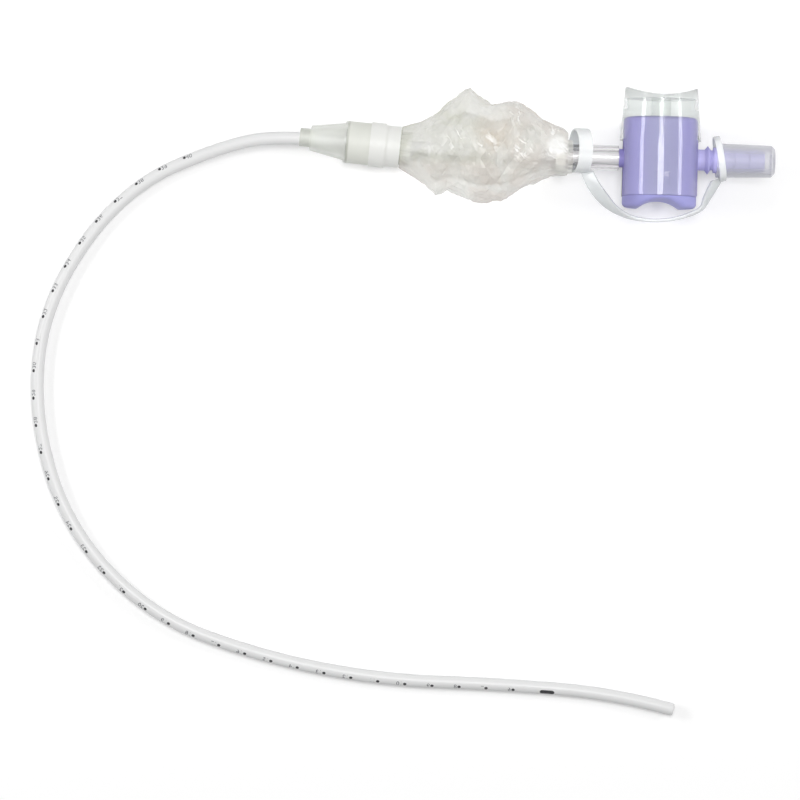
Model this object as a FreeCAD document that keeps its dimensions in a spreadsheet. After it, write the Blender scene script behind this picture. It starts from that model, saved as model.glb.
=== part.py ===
import FreeCAD, Part
import math
import os
import Sketcher

# Closed suction catheter, lying on a table as it comes to rest.
# X runs from the patient end to the suction end, Y along the valve's own axis, Z up.
# The origin is on the table, below the middle of everything but the catheter.

os.makedirs("parts", exist_ok=True)
document = FreeCAD.newDocument("closed_suction_catheter")
sheet = document.addObject("Spreadsheet::Sheet", "sizes")

# Driving dimensions in millimetres, angles in degrees
DIMENSIONS = [
    ("fit_gap", 0.1, "between pieces that are bonded or pressed together"),
    ("slide_gap", 0.3, "between pieces that slide"),
    ("table_gap", 0.3, "under soft pieces"),
    # Valve body
    ("body_radius", 13.6, ""),
    ("body_height", 32.9, ""),
    ("port_depth", 14.9, "port axis below the body's top"),
    ("body_edge", 1.7, "round of the body's outer edges"),
    ("shoulder_round", 2.4, "round where the finger groove meets the foot"),
    ("body_wall", 2.0, "wall outside the moulding relief"),
    ("relief_floor", 6.4, "floor of the relief above the port axis"),
    ("chamber_radius", 6.0, "spring chamber"),
    ("chamber_depth", 7.6, ""),
    ("barrel_wall", 1.8, "wall round the spring chamber"),
    ("bore_radius", 3.5, "plunger bore"),
    ("bore_reach", 10.0, "plunger bore below the port axis"),
    ("passage_radius", 1.2, "suction way through the valve"),
    ("finger_radius", 10.9, "finger groove across the body's foot"),
    ("finger_depth", 3.0, ""),
    ("boss_radius", 3.4, "catheter boss"),
    # Suction connector
    ("neck_radius", 3.85, ""),
    ("neck_length", 2.7, "bare neck outside the body"),
    ("collar_radius", 5.25, "peak of the stop collar"),
    ("collar_half", 1.1, "half the width of the stop collar"),
    ("groove_radius", 3.7, ""),
    ("groove_width", 1.0, ""),
    ("grip_radius", 4.7, "band that the connector cap grips"),
    ("grip_width", 2.4, ""),
    ("barb_radius", 4.5, ""),
    ("barb_root", 3.8, ""),
    ("barb_pitch", 5.4, ""),
    ("connector_bore", 2.2, ""),
    # Thumb cap
    ("press_travel", 2.5, ""),
    ("cap_rise", 10.9, "rim above the body's top"),
    ("skirt_wall", 1.0, "outside the sliding bore"),
    ("skirt_lean", 1.6, "cap's side drawn in from the notches to the rim"),
    ("rim_wall", 0.9, "above the sliding bore"),
    ("roof_thickness", 1.3, ""),
    ("saddle_radius", 29.7, "thumb saddle"),
    ("saddle_depth", 2.9, ""),
    ("notch_height", 6.7, "top of the port notches above the port axis"),
    ("notch_half", 6.5, "half the width of the port notches"),
    ("tongue_reach", 13.7, "end of the tongues below the port axis"),
    ("post_radius", 3.6, ""),
    ("lug_width", 5.0, "snap lug inside each tongue"),
    ("lug_height", 2.0, ""),
    ("lug_top", 5.2, "top of the lug below the port axis"),
    ("lug_depth", 0.6, "depth of the body's slot for the lug"),
    # Plunger, seals and spring
    ("plunger_radius", 3.4, ""),
    ("plunger_reach", 6.6, "end of the plunger below the port axis"),
    ("waist_radius", 2.0, ""),
    ("waist_low", 1.3, "waist above the port axis while the cap is up"),
    ("waist_width", 2.6, ""),
    ("flange_radius", 5.5, ""),
    ("flange_thickness", 1.2, ""),
    ("flange_sink", 0.5, "flange below the body's top"),
    ("seal_wire", 0.5, "radius of an O-ring's cord"),
    ("upper_seal_height", 5.6, ""),
    ("lower_seal_depth", 3.4, ""),
    ("spring_wire", 0.35, ""),
    ("spring_radius", 4.5, ""),
    ("spring_turns", 3.5, ""),
    # Stem and proximal end of the sleeve
    ("stem_radius", 4.65, ""),
    ("stem_bore", 2.9, ""),
    ("stem_flange", 5.5, "radius of the stem's end flange"),
    ("stem_flange_width", 1.0, ""),
    ("clamp_thickness", 0.7, "proximal clamp ring"),
    ("clamp_width", 3.6, ""),
    # Connector cap and its strap
    ("mouth_gap", 1.1, "bare stretch of the grip band before the cap's mouth"),
    ("cap_length", 21.3, ""),
    ("cap_mouth_radius", 6.3, ""),
    ("cap_end_radius", 5.8, ""),
    ("cap_wall", 0.9, ""),
    ("cap_lip", 1.2, "width of the lip that grips the connector"),
    ("cap_bevel", 1.2, ""),
    ("pull_travel", 17.5, "until the cap is off the connector"),
    ("strap_ring_wall", 0.9, ""),
    ("stem_ring_bore", 7.3, "loose on the stem"),
    ("stem_ring_width", 5.2, ""),
    ("stem_ring_reach", 29.2, "middle of the stem's ring from the valve axis"),
    ("stem_ring_tilt", 13.0, "turn of the stem's ring about Y"),
    ("cap_ring_play", 1.2, "bore of the cap's ring over the cap's mouth"),
    ("cap_ring_width", 2.4, ""),
    ("cap_ring_lift", 0.6, "of the cap's ring above the port axis"),
    ("cap_ring_tilt", 10.0, "turn of the cap's ring about Z"),
    ("strap_thickness", 1.2, ""),
    ("strap_width", 4.2, ""),
    ("strap_clearance", 5.1, "lowest edge of the strap below the body's foot"),
    # Patient end fitting
    ("fitting_reach", 95.35, "fitting's near end from the valve axis"),
    ("fitting_rise", 2.41, "fitting's near end above the port axis in Y"),
    ("fitting_angle", 4.6, "turn of the fitting about Z"),
    ("band_radius", 8.2, "thick half of the distal clamp ring"),
    ("band_width", 5.6, ""),
    ("ring_radius", 7.6, "thin half of the distal clamp ring"),
    ("ring_width", 5.5, ""),
    ("spigot_radius", 5.9, "collar's spigot under the film"),
    ("spigot_overhang", 4.0, "spigot inside the sleeve"),
    ("film_gather", 0.4, "gathered film under the clamp"),
    ("collar_length", 8.5, ""),
    ("collar_outer", 7.7, ""),
    ("collar_bore", 4.4, ""),
    ("socket_radius", 5.9, "collar's socket for the cone"),
    ("socket_depth", 7.2, ""),
    ("wiper_thickness", 1.5, ""),
    ("wiper_lip", 0.7, ""),
    ("cone_flange", 0.9, ""),
    ("cone_big_radius", 6.9, ""),
    ("cone_small_radius", 4.6, ""),
    ("cone_length", 12.6, ""),
    ("cone_wall", 0.95, ""),
    ("tip_wall", 1.9, "thickness of the cone's tip"),
    ("nozzle_radius", 3.4, ""),
    ("nozzle_length", 3.95, ""),
    ("nozzle_bore", 2.65, ""),
    ("nozzle_spigot", 3.1, ""),
    # Sleeve and catheter
    ("sleeve_reach", 33.9, "sleeve's near end from the valve axis"),
    ("film_wall", 0.7, "bunched film, taken as one wall"),
    ("crease_depth", 4.2, ""),
    ("doubled_share", 0.64, "reach of the film doubled back inside, as a share of the outer film's"),
    ("doubled_swing", 0.22, "change of that share over its creases"),
    ("catheter_radius", 2.335, "14 French"),
    ("lumen_radius", 1.6, ""),
]
for row, (alias, amount, note) in enumerate(DIMENSIONS, start=1):
    sheet.set(f"A{row}", alias)
    sheet.set(f"B{row}", str(amount))
    sheet.set(f"C{row}", note)
    sheet.setAlias(f"B{row}", alias)
document.recompute()


class Measure:
    """A size that knows both its number and the sheet expression that drives it."""

    def __init__(self, text, number):
        self.text = text
        self.number = number

    def joined(self, other, sign, number):
        return Measure(f"({self.text} {sign} {other.text})", number)

    def __add__(self, other):
        other = as_measure(other)
        return self.joined(other, "+", self.number + other.number)

    def __sub__(self, other):
        other = as_measure(other)
        return self.joined(other, "-", self.number - other.number)

    def __mul__(self, other):
        other = as_measure(other)
        return self.joined(other, "*", self.number * other.number)

    def __truediv__(self, other):
        other = as_measure(other)
        return self.joined(other, "/", self.number / other.number)

    def __radd__(self, other):
        return as_measure(other) + self

    def __rsub__(self, other):
        return as_measure(other) - self

    def __rmul__(self, other):
        return as_measure(other) * self

    def __neg__(self):
        return Measure(f"(-{self.text})", -self.number)

    def __float__(self):
        return float(self.number)


def as_measure(value):
    if isinstance(value, Measure):
        return value
    return Measure(str(float(value)), float(value))


class Sizes:
    """Every alias of the sheet as an attribute."""


size = Sizes()
for alias, amount, note in DIMENSIONS:
    setattr(size, alias, Measure(f"sizes.{alias}", float(sheet.get(alias))))

# Heights along the valve's own axis, from the port axis
body_top = size.port_depth
body_foot = size.port_depth - size.body_height
cap_rim = body_top + size.cap_rise
cap_bore = size.body_radius + size.slide_gap
skirt_radius = cap_bore + size.skirt_wall
cap_top_radius = skirt_radius - size.skirt_lean
cavity_radius = cap_top_radius - size.rim_wall
roof_under = cap_rim - size.saddle_depth - size.roof_thickness
flange_top = body_top - size.flange_sink
chamber_floor = body_top - size.chamber_depth
boss_end = skirt_radius + size.slide_gap
catheter_seat = size.catheter_radius + size.fit_gap
strap_drop = size.strap_clearance - body_foot

# Reaches along the port axis, from the valve axis
collar_start = size.body_radius + size.neck_length
grip_start = collar_start + 2 * size.collar_half + size.groove_width
barb_start = grip_start + size.grip_width
BARB_COUNT = 3
connector_tip = barb_start + BARB_COUNT * size.barb_pitch
cap_mouth = grip_start + size.mouth_gap
cap_end = cap_mouth + size.cap_length
clamp_end = size.sleeve_reach + size.film_wall + 2 * size.fit_gap + size.clamp_width
clamp_ring_width = size.band_width + size.ring_width
fitting_length = (clamp_ring_width + size.collar_length + size.cone_flange
                  + size.cone_length + size.nozzle_length)

# Places in the part's frame
fitting_turn = math.radians(float(size.fitting_angle))
left_reach = float(size.fitting_reach) + float(fitting_length) * math.cos(fitting_turn)
valve_x = (left_reach - float(cap_end)) / 2
port_y = (float(strap_drop) - float(cap_rim)) / 2
axis_z = float(skirt_radius)
valve_place = FreeCAD.Placement(FreeCAD.Vector(valve_x, port_y, axis_z), FreeCAD.Rotation())
fitting_centre = FreeCAD.Vector(valve_x - float(size.fitting_reach),
                                port_y + float(size.fitting_rise), float(size.band_radius))
fitting_place = FreeCAD.Placement(
    fitting_centre, FreeCAD.Rotation(FreeCAD.Vector(0, 0, 1), -float(size.fitting_angle)))

sub_parts = []


def keep(feature, label, place):
    """Names a finished sub-part and sets it in its place."""
    feature.Label = label
    feature.Placement = place
    sub_parts.append(feature)
    return feature


def new_body(label):
    return document.addObject("PartDesign::Body", label + "_body")


def origin_plane(body, role):
    return next(plane for plane in body.Origin.OriginFeatures if plane.Role == role)


def new_sketch(body, name, role="XY_Plane", lift=None):
    """Sketch on one of the body's own planes, lifted off it by a measure."""
    sketch = body.newObject("Sketcher::SketchObject", name)
    sketch.AttachmentSupport = [(origin_plane(body, role), "")]
    sketch.MapMode = "FlatFace"
    if lift is not None:
        sketch.AttachmentOffset = FreeCAD.Placement(FreeCAD.Vector(0, 0, float(lift)), FreeCAD.Rotation())
        sketch.setExpression("AttachmentOffset.Base.z", lift.text)
    return sketch


def bind(sketch, kind, place, value):
    """Ties one coordinate of a point, or the radius of a circle, to a measure."""
    value = as_measure(value)
    index = sketch.addConstraint(Sketcher.Constraint(kind, *place, float(value)))
    sketch.setExpression(f"Constraints[{index}]", value.text)


def outline(sketch, corners):
    """Closed outline through the corners, each tied to the sketch's origin."""
    count = len(corners)
    points = [FreeCAD.Vector(float(x), float(y), 0) for x, y in corners]
    for index in range(count):
        sketch.addGeometry(Part.LineSegment(points[index], points[(index + 1) % count]), False)
    for index in range(count):
        sketch.addConstraint(Sketcher.Constraint("Coincident", index, 2, (index + 1) % count, 1))
    for index, (x, y) in enumerate(corners):
        if float(x) == 0:
            sketch.addConstraint(Sketcher.Constraint("PointOnObject", index, 1, -2))
        else:
            bind(sketch, "DistanceX", (index, 1), x)
        if float(y) == 0:
            sketch.addConstraint(Sketcher.Constraint("PointOnObject", index, 1, -1))
        else:
            bind(sketch, "DistanceY", (index, 1), y)


def circle(sketch, height, radius):
    """Circle centred on the sketch's vertical axis."""
    centre = FreeCAD.Vector(0, float(height), 0)
    sketch.addGeometry(Part.Circle(centre, FreeCAD.Vector(0, 0, 1), float(radius)), False)
    sketch.addConstraint(Sketcher.Constraint("PointOnObject", 0, 3, -2))
    bind(sketch, "DistanceY", (0, 3), height)
    bind(sketch, "Radius", (0,), radius)


def turned(body, name, corners, axis="H_Axis", cut=False):
    """Full turn of an outline about the sketch's axis, added or cut away."""
    sketch = new_sketch(body, name + "_profile")
    outline(sketch, corners)
    kind = "PartDesign::Groove" if cut else "PartDesign::Revolution"
    before = body.Tip.Shape.Volume if cut else 0
    feature = body.newObject(kind, name)
    feature.Profile = sketch
    feature.ReferenceAxis = (sketch, [axis])
    feature.Angle = 360
    document.recompute()
    if cut and not feature.Shape.Volume < before:
        raise RuntimeError(f"{name} cuts nothing")
    return feature


def cut_through(body, name, sketch):
    """Pocket that runs both ways from its sketch through the whole body."""
    before = body.Tip.Shape.Volume
    pocket = body.newObject("PartDesign::Pocket", name)
    pocket.Profile = sketch
    pocket.Type = 1
    pocket.Midplane = True
    document.recompute()
    if not pocket.Shape.Volume < before:
        raise RuntimeError(f"{name} cuts nothing")
    return pocket


def box_corners(low_x, high_x, low_y, high_y):
    return [(low_x, low_y), (high_x, low_y), (high_x, high_y), (low_x, high_y)]


def mirrored_about(body, name, feature, role="XY_Plane"):
    """Repeats a feature on the other side of one of the body's planes."""
    mirror = body.newObject("PartDesign::Mirrored", name)
    mirror.Originals = [feature]
    mirror.MirrorPlane = (origin_plane(body, role), [""])
    body.Tip = mirror
    document.recompute()
    return mirror


def rounded(body, name, edges, radius):
    base = body.Tip
    fillet = body.newObject("PartDesign::Fillet", name)
    fillet.Base = (base, edges)
    fillet.Radius = float(radius)
    fillet.setExpression("Radius", radius.text)
    document.recompute()
    return fillet


def circles_at(shape, height, radius):
    """Names of the round edges about the valve axis at one height and radius."""
    names = []
    for number, edge in enumerate(shape.Edges, start=1):
        box = edge.BoundBox
        level = abs(box.YMin - height) < 1e-4 and abs(box.YMax - height) < 1e-4
        if level and isinstance(edge.Curve, Part.Circle) and abs(edge.Curve.Radius - radius) < 1e-4:
            names.append(f"Edge{number}")
    return names


def ridges_at(shape, height):
    """Names of the straight edges that lie level at one height."""
    names = []
    for number, edge in enumerate(shape.Edges, 1):
        box = edge.BoundBox
        level = abs(box.YMin - height) < 1e-4 and abs(box.YMax - height) < 1e-4
        if level and isinstance(edge.Curve, Part.Line):
            names.append(f"Edge{number}")
    return names


def valve_body():
    body = new_body("valve_body")
    relief_outer = size.body_radius - size.body_wall
    relief_inner = size.chamber_radius + size.barrel_wall
    turned(body, "barrel", [
        (0, body_foot), (size.body_radius, body_foot), (size.body_radius, body_top),
        (relief_outer, body_top), (relief_outer, size.relief_floor),
        (relief_inner, size.relief_floor), (relief_inner, body_top),
        (size.chamber_radius, body_top), (size.chamber_radius, chamber_floor),
        (size.bore_radius, chamber_floor), (size.bore_radius, -size.bore_reach),
        (0, -size.bore_reach)], axis="V_Axis")
    finger = new_sketch(body, "finger_circle")
    circle(finger, body_foot + size.finger_depth - size.finger_radius, size.finger_radius)
    cut_through(body, "finger_groove", finger)
    rounded(body, "groove_shoulders", ridges_at(body.Tip.Shape, float(body_foot)), size.shoulder_round)
    edges = circles_at(body.Tip.Shape, float(body_foot), float(size.body_radius))
    rounded(body, "foot_round", edges, size.body_edge)
    edges = circles_at(body.Tip.Shape, float(body_top), float(size.body_radius))
    rounded(body, "top_round", edges, size.body_edge)

    slot = new_sketch(body, "lug_slot_outline", lift=size.body_radius - size.lug_depth)
    slot_half = size.lug_width / 2 + size.fit_gap
    slot_foot = -size.lug_top - size.lug_height - size.press_travel - size.slide_gap
    outline(slot, box_corners(-slot_half, slot_half, slot_foot, -size.lug_top + size.fit_gap))
    before = body.Tip.Shape.Volume
    pocket = body.newObject("PartDesign::Pocket", "lug_slot")
    pocket.Profile = slot
    pocket.Reversed = True
    pocket.setExpression("Length", (2 * size.lug_depth).text)
    document.recompute()
    if not pocket.Shape.Volume < before:
        raise RuntimeError("lug_slot cuts nothing")
    mirrored_about(body, "lug_slots", pocket)

    connector = [(size.body_radius - size.body_wall, 0), (size.body_radius - size.body_wall, size.neck_radius),
                 (collar_start, size.neck_radius),
                 (collar_start + size.collar_half, size.collar_radius),
                 (collar_start + 2 * size.collar_half, size.groove_radius),
                 (grip_start, size.groove_radius), (grip_start, size.grip_radius),
                 (barb_start, size.grip_radius), (barb_start, size.barb_radius)]
    for barb in range(BARB_COUNT):
        barb_end = barb_start + (barb + 1) * size.barb_pitch
        connector.append((barb_end, size.barb_root))
        if barb < BARB_COUNT - 1:
            connector.append((barb_end, size.barb_radius))
    connector.append((connector_tip, 0))
    turned(body, "suction_connector", connector)
    boss_root = size.body_radius - size.body_wall
    turned(body, "catheter_boss", [
        (-boss_root, 0), (-boss_root, size.boss_radius), (-boss_end, size.boss_radius), (-boss_end, 0)])

    passage_end = size.body_radius - size.body_wall
    turned(body, "passage", [
        (-passage_end, 0), (-passage_end, size.passage_radius),
        (passage_end, size.passage_radius), (passage_end, 0)], cut=True)
    turned(body, "catheter_seat", [
        (-boss_end, 0), (-boss_end, catheter_seat), (-passage_end, catheter_seat), (-passage_end, 0)], cut=True)
    turned(body, "connector_way", [
        (passage_end, 0), (passage_end, size.connector_bore),
        (connector_tip, size.connector_bore), (connector_tip, 0)], cut=True)
    keep(body, "valve_body", valve_place)


def thumb_cap():
    body = new_body("thumb_cap")
    step = body_top + size.press_travel + size.slide_gap
    turned(body, "cup", [
        (0, flange_top), (size.post_radius, flange_top), (size.post_radius, roof_under),
        (cavity_radius, roof_under), (cavity_radius, step), (cap_bore, step),
        (cap_bore, -size.tongue_reach), (skirt_radius, -size.tongue_reach),
        (skirt_radius, size.notch_height), (cap_top_radius, cap_rim), (0, cap_rim)],
        axis="V_Axis")

    saddle = new_sketch(body, "saddle_circle")
    circle(saddle, cap_rim - size.saddle_depth + size.saddle_radius, size.saddle_radius)
    cut_through(body, "thumb_saddle", saddle)

    # The two notches straddle the ports and leave a tongue in front and behind.
    notch = new_sketch(body, "notch_outline", role="YZ_Plane")
    below = -size.tongue_reach - size.cap_rise
    outline(notch, [(below, -size.notch_half), (size.notch_height, -size.notch_half),
                    (size.notch_height, size.notch_half), (below, size.notch_half)])
    cut_through(body, "port_notches", notch)

    lug = new_sketch(body, "lug_outline", lift=size.body_radius - size.lug_depth + size.slide_gap)
    lug_half = size.lug_width / 2
    outline(lug, box_corners(-lug_half, lug_half, -size.lug_top - size.lug_height, -size.lug_top))
    pad = body.newObject("PartDesign::Pad", "lug")
    pad.Profile = lug
    pad.setExpression("Length", (size.lug_depth + size.slide_gap).text)
    document.recompute()
    mirrored_about(body, "lugs", pad)
    keep(body, "thumb_cap", valve_place)


def plunger():
    body = new_body("plunger")
    seal_floor = size.bore_radius - size.fit_gap - 2 * size.seal_wire
    corners = [(0, -size.plunger_reach), (size.plunger_radius, -size.plunger_reach)]
    for height in (-size.lower_seal_depth, None, size.upper_seal_height):
        if height is None:
            low = size.waist_low
            high = size.waist_low + size.waist_width
            floor = size.waist_radius
        else:
            low = height - size.seal_wire - size.fit_gap / 2
            high = height + size.seal_wire + size.fit_gap / 2
            floor = seal_floor
        corners += [(size.plunger_radius, low), (floor, low), (floor, high), (size.plunger_radius, high)]
    flange_under = flange_top - size.flange_thickness
    corners += [(size.plunger_radius, flange_under), (size.flange_radius, flange_under),
                (size.flange_radius, flange_top), (0, flange_top)]
    turned(body, "spool", corners, axis="V_Axis")
    keep(body, "plunger", valve_place)


def o_ring(label, height):
    """Seal ring round the plunger, just clear of its groove and of the bore."""
    ring = document.addObject("Part::Torus", label + "_torus")
    middle = size.bore_radius - size.fit_gap / 2 - size.seal_wire
    ring.setExpression("Radius1", middle.text)
    ring.setExpression("Radius2", (size.seal_wire - size.fit_gap / 4).text)
    turn = FreeCAD.Rotation(FreeCAD.Vector(1, 0, 0), 90)
    keep(ring, label, FreeCAD.Placement(FreeCAD.Vector(valve_x, port_y + float(height), axis_z), turn))


def return_spring():
    """Open coil between the chamber's floor and the plunger's flange."""
    low = chamber_floor + size.spring_wire + size.fit_gap
    high = flange_top - size.flange_thickness - size.spring_wire - size.fit_gap
    rise = high - low
    helix = document.addObject("Part::Helix", "spring_line")
    helix.setExpression("Radius", size.spring_radius.text)
    helix.setExpression("Height", rise.text)
    helix.setExpression("Pitch", (rise / size.spring_turns).text)
    wire = document.addObject("Part::Circle", "spring_section")
    wire.setExpression("Radius", size.spring_wire.text)
    wire.Placement = FreeCAD.Placement(FreeCAD.Vector(float(size.spring_radius), 0, 0),
                                       FreeCAD.Rotation(FreeCAD.Vector(1, 0, 0), 90))
    wire.setExpression("Placement.Base.x", size.spring_radius.text)
    coil = document.addObject("Part::Sweep", "spring_coil")
    coil.Sections = [wire]
    coil.Spine = (helix, ["Edge1"])
    coil.Solid = True
    coil.Frenet = True
    document.recompute()
    turn = FreeCAD.Rotation(FreeCAD.Vector(1, 0, 0), -90)
    keep(coil, "return_spring", FreeCAD.Placement(FreeCAD.Vector(valve_x, port_y + float(low), axis_z), turn))


def stem_tube():
    body = new_body("stem_tube")
    stem_end = clamp_end + 2 * size.fit_gap + size.stem_flange_width
    flange_start = clamp_end + 2 * size.fit_gap
    turned(body, "tube", [
        (-boss_end, size.stem_bore), (-stem_end, size.stem_bore), (-stem_end, size.stem_flange),
        (-flange_start, size.stem_flange), (-flange_start, size.stem_radius), (-boss_end, size.stem_radius)])
    keep(body, "stem_tube", valve_place)


def proximal_clamp_ring():
    body = new_body("proximal_clamp_ring")
    inner = size.stem_radius + size.film_gather + 2 * size.fit_gap
    turned(body, "ring", box_corners(-clamp_end, -clamp_end + size.clamp_width, inner, inner + size.clamp_thickness))
    keep(body, "proximal_clamp_ring", valve_place)


def connector_cap():
    body = new_body("connector_cap")
    mouth = cap_mouth
    grip = size.grip_radius + size.fit_gap
    floor = cap_end - size.roof_thickness
    turned(body, "cap", [
        (mouth, grip), (mouth + size.cap_lip, grip), (mouth + size.cap_lip, size.cap_mouth_radius - size.cap_wall),
        (floor, size.cap_end_radius - size.cap_wall), (floor, 0), (cap_end, 0),
        (cap_end, size.cap_end_radius - size.cap_bevel),
        (cap_end - size.cap_bevel, size.cap_end_radius), (mouth, size.cap_mouth_radius)])
    keep(body, "connector_cap", valve_place)


# Outer edge of the strap: share of the way from the stem's ring to the cap's ring, depth as
# a share of the strap's drop, and twist in degrees, where 0 stands the strap on its edge
STRAP_SHARES = [
    (-0.006, 0.19, 90),
    (0.057, 0.48, 80),
    (0.140, 0.71, 60),
    (0.235, 0.86, 28),
    (0.357, 0.96, 8),
    (0.501, 1.00, 0),
    (0.655, 0.98, 0),
    (0.785, 0.91, 6),
    (0.890, 0.80, 12),
    (0.951, 0.61, 32),
    (1.045, 0.25, 50),
]
BAND_STEPS = 32


def ring_blank(centre, turn, radius, half_length):
    """Cylinder about a turned X axis, centred on a point."""
    axis = turn.multVec(FreeCAD.Vector(1, 0, 0))
    return Part.makeCylinder(radius, 2 * half_length, centre - axis * half_length, axis)


def band_section(edge, along, twist):
    """Strap's section square to its line, reaching inwards from its outer edge."""
    half_thick = float(size.strap_thickness) / 2
    half_wide = float(size.strap_width) / 2
    inward = FreeCAD.Vector(-along.y, along.x, 0).normalize()
    upward = FreeCAD.Vector(0, 0, 1)
    wide = (upward * math.cos(twist) + inward * math.sin(twist)) * half_wide
    thick = (inward * math.cos(twist) - upward * math.sin(twist)) * half_thick
    centre = edge + inward * (half_wide * math.sin(twist) + half_thick * math.cos(twist))
    corners = [centre + wide + thick, centre - wide + thick, centre - wide - thick, centre + wide - thick]
    return Part.makePolygon(corners + [corners[0]])


def tether_strap():
    """Soft strap that hangs below the valve in a bow, with a loose ring at each end."""
    wall = float(size.strap_ring_wall)
    stem_bore = float(size.stem_ring_bore)
    mouth_bore = float(size.cap_mouth_radius + size.cap_ring_play)
    hang = stem_bore - float(size.stem_radius + size.slide_gap)
    stem_ring = (FreeCAD.Vector(-float(size.stem_ring_reach), hang, 0),
                 FreeCAD.Rotation(FreeCAD.Vector(0, 1, 0), float(size.stem_ring_tilt)),
                 stem_bore, float(size.stem_ring_width) / 2)
    cap_ring = (FreeCAD.Vector(float(cap_mouth + size.cap_ring_width / 2), float(size.cap_ring_lift), 0),
                FreeCAD.Rotation(FreeCAD.Vector(0, 0, 1), float(size.cap_ring_tilt)),
                mouth_bore, float(size.cap_ring_width) / 2)

    # The smooth line through the shares carries the twist as its third coordinate.
    drop = float(strap_drop)
    first_x, last_x = stem_ring[0].x, cap_ring[0].x
    line = Part.BSplineCurve()
    line.interpolate([FreeCAD.Vector(first_x + share * (last_x - first_x), -depth * drop, twist)
                      for share, depth, twist in STRAP_SHARES])
    sections = []
    for step in range(BAND_STEPS + 1):
        place = line.FirstParameter + (line.LastParameter - line.FirstParameter) * step / BAND_STEPS
        spot = line.value(place)
        edge = FreeCAD.Vector(spot.x, spot.y, 0)
        sections.append(band_section(edge, line.tangent(place)[0], math.radians(spot.z)))
    band = Part.makeLoft(sections, True, True)
    rings = [ring_blank(centre, turn, bore + wall, half) for centre, turn, bore, half in (stem_ring, cap_ring)]
    whole = band.fuse(rings)
    for centre, turn, bore, half in (stem_ring, cap_ring):
        whole = whole.cut(ring_blank(centre, turn, bore, bore))
    feature = document.addObject("Part::Feature", "tether_strap_shape")
    feature.Shape = whole
    keep(feature, "tether_strap", valve_place)


def distal_clamp_ring():
    body = new_body("distal_clamp_ring")
    inner = size.spigot_radius + size.film_gather + 2 * size.fit_gap
    turned(body, "ring", [
        (0, inner), (0, size.ring_radius), (-size.ring_width, size.ring_radius),
        (-size.ring_width, size.band_radius), (-clamp_ring_width, size.band_radius), (-clamp_ring_width, inner)])
    keep(body, "distal_clamp_ring", fitting_place)


def seal_collar():
    body = new_body("seal_collar")
    collar_end = clamp_ring_width + size.collar_length
    shoulder = collar_end - size.socket_depth
    turned(body, "collar", [
        (size.spigot_overhang, size.collar_bore), (size.spigot_overhang, size.spigot_radius),
        (-clamp_ring_width, size.spigot_radius), (-clamp_ring_width, size.collar_outer),
        (-collar_end, size.collar_outer), (-collar_end, size.socket_radius),
        (-shoulder, size.socket_radius), (-shoulder, size.collar_bore)])
    keep(body, "seal_collar", fitting_place)


def wiper_seal():
    body = new_body("wiper_seal")
    start = clamp_ring_width + size.collar_length - size.socket_depth
    end = start + size.wiper_thickness
    lip_bore = size.catheter_radius + size.fit_gap
    rim = size.socket_radius - size.fit_gap
    turned(body, "disc", [
        (-start, rim), (-end, rim), (-end, lip_bore), (-end + size.wiper_lip, lip_bore),
        (-end + size.wiper_lip, size.stem_bore + size.wiper_lip), (-start, size.collar_bore)])
    keep(body, "wiper_seal", fitting_place)


def cone_adapter():
    body = new_body("cone_adapter")
    face = clamp_ring_width + size.collar_length
    spigot_end = face - size.socket_depth + size.wiper_thickness
    spigot_radius = size.socket_radius - size.fit_gap
    flange_end = face + size.cone_flange
    tip = flange_end + size.cone_length
    tip_inside = tip - size.tip_wall
    tip_bore = size.nozzle_spigot + size.fit_gap
    turned(body, "cone", [
        (-spigot_end, spigot_radius - size.cone_wall), (-spigot_end, spigot_radius),
        (-face, spigot_radius), (-face, size.collar_outer), (-flange_end, size.collar_outer),
        (-flange_end, size.cone_big_radius), (-tip, size.cone_small_radius), (-tip, tip_bore),
        (-tip_inside, tip_bore), (-tip_inside, size.cone_small_radius - size.cone_wall),
        (-flange_end, spigot_radius - size.cone_wall)])
    keep(body, "cone_adapter", fitting_place)


def nozzle_ring():
    body = new_body("nozzle_ring")
    tip = clamp_ring_width + size.collar_length + size.cone_flange + size.cone_length
    spigot_end = tip - size.tip_wall
    turned(body, "nozzle", [
        (-spigot_end, size.nozzle_bore), (-spigot_end, size.nozzle_spigot), (-tip, size.nozzle_spigot),
        (-tip, size.nozzle_radius), (-fitting_length, size.nozzle_radius), (-fitting_length, size.nozzle_bore)])
    keep(body, "nozzle_ring", fitting_place)


# Outline of the bunched sleeve from its valve end to its patient end: share of the way,
# then reach up and down the table plane and over and under the line between its two necks
SLEEVE_OUTLINE = [
    (0.00, 8.9, 6.8, 7.2, 7.1),
    (0.03, 10.3, 7.0, 7.8, 7.6),
    (0.09, 11.6, 7.3, 8.6, 8.4),
    (0.16, 13.8, 8.8, 9.8, 10.2),
    (0.23, 17.2, 10.6, 11.2, 11.6),
    (0.30, 18.8, 13.8, 12.4, 12.4),
    (0.38, 18.7, 17.3, 13.2, 12.2),
    (0.46, 17.6, 18.2, 13.8, 11.8),
    (0.53, 19.6, 18.9, 14.0, 11.2),
    (0.60, 23.8, 17.8, 13.6, 10.8),
    (0.66, 21.0, 15.4, 13.0, 10.4),
    (0.72, 17.8, 14.2, 12.2, 10.0),
    (0.78, 13.8, 17.0, 11.0, 9.6),
    (0.86, 10.4, 12.8, 9.4, 8.8),
    (0.95, 8.4, 9.6, 8.2, 8.1),
]
RING_POINTS = 36
STATIONS = 30
# Families of creases: how many run round the sleeve, how far each winds along it, its weight
FOLDS = [(3, 2.2, 1.0), (5, -3.4, 0.8), (8, 5.7, 0.6), (-7, 4.1, 0.5), (11, -8.3, 0.45), (-13, 9.7, 0.4)]
DOUBLED_FOLDS = [(4, -2.7, 1.0), (-6, 3.9, 0.9), (9, 7.4, 0.6), (-12, 8.9, 0.4)]
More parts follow.
